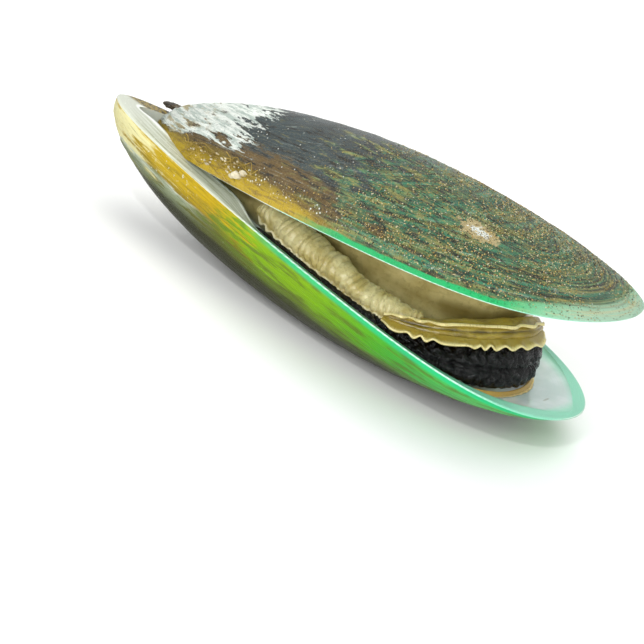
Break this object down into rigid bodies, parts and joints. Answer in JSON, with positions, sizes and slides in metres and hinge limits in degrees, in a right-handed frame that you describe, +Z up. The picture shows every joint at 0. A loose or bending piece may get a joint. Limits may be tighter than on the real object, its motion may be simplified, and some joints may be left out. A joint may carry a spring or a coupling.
{
  "type": "mussel shell",
  "caption": "Gaping mussel in its two long shell valves, hinge torn open, with the cooked meat and its frilled mantle edges between them.",
  "frame": {"origin": "centre of the bounding box on the surface it rests on", "axes": "+X from the hinge end to the open end along the length, +Z up, -Y towards the gaping edge"},
  "size_m": [0.1158, 0.0554, 0.0397],
  "materials": {
    "lower_shell": "satin, streaked green and mustard outside, pale nacre inside",
    "upper_shell": "satin, slate, brown and teal with a bright green edge",
    "ligament": "dull, horny",
    "mantle": "moist, smooth",
    "gill": "moist, ribbed",
    "yellow_margin": "moist, ruffled",
    "dark_margin": "wet, frilled"
  },
  "bodies": {
    "root": {"lower_valve": "lower_shell", "upper_valve": "upper_shell", "hinge_ligament": "ligament", "mantle_body": "mantle", "gill_band": "gill", "yellow_mantle_margin": "yellow_margin", "dark_mantle_margin": "dark_margin"}
  },
  "joints": []
}
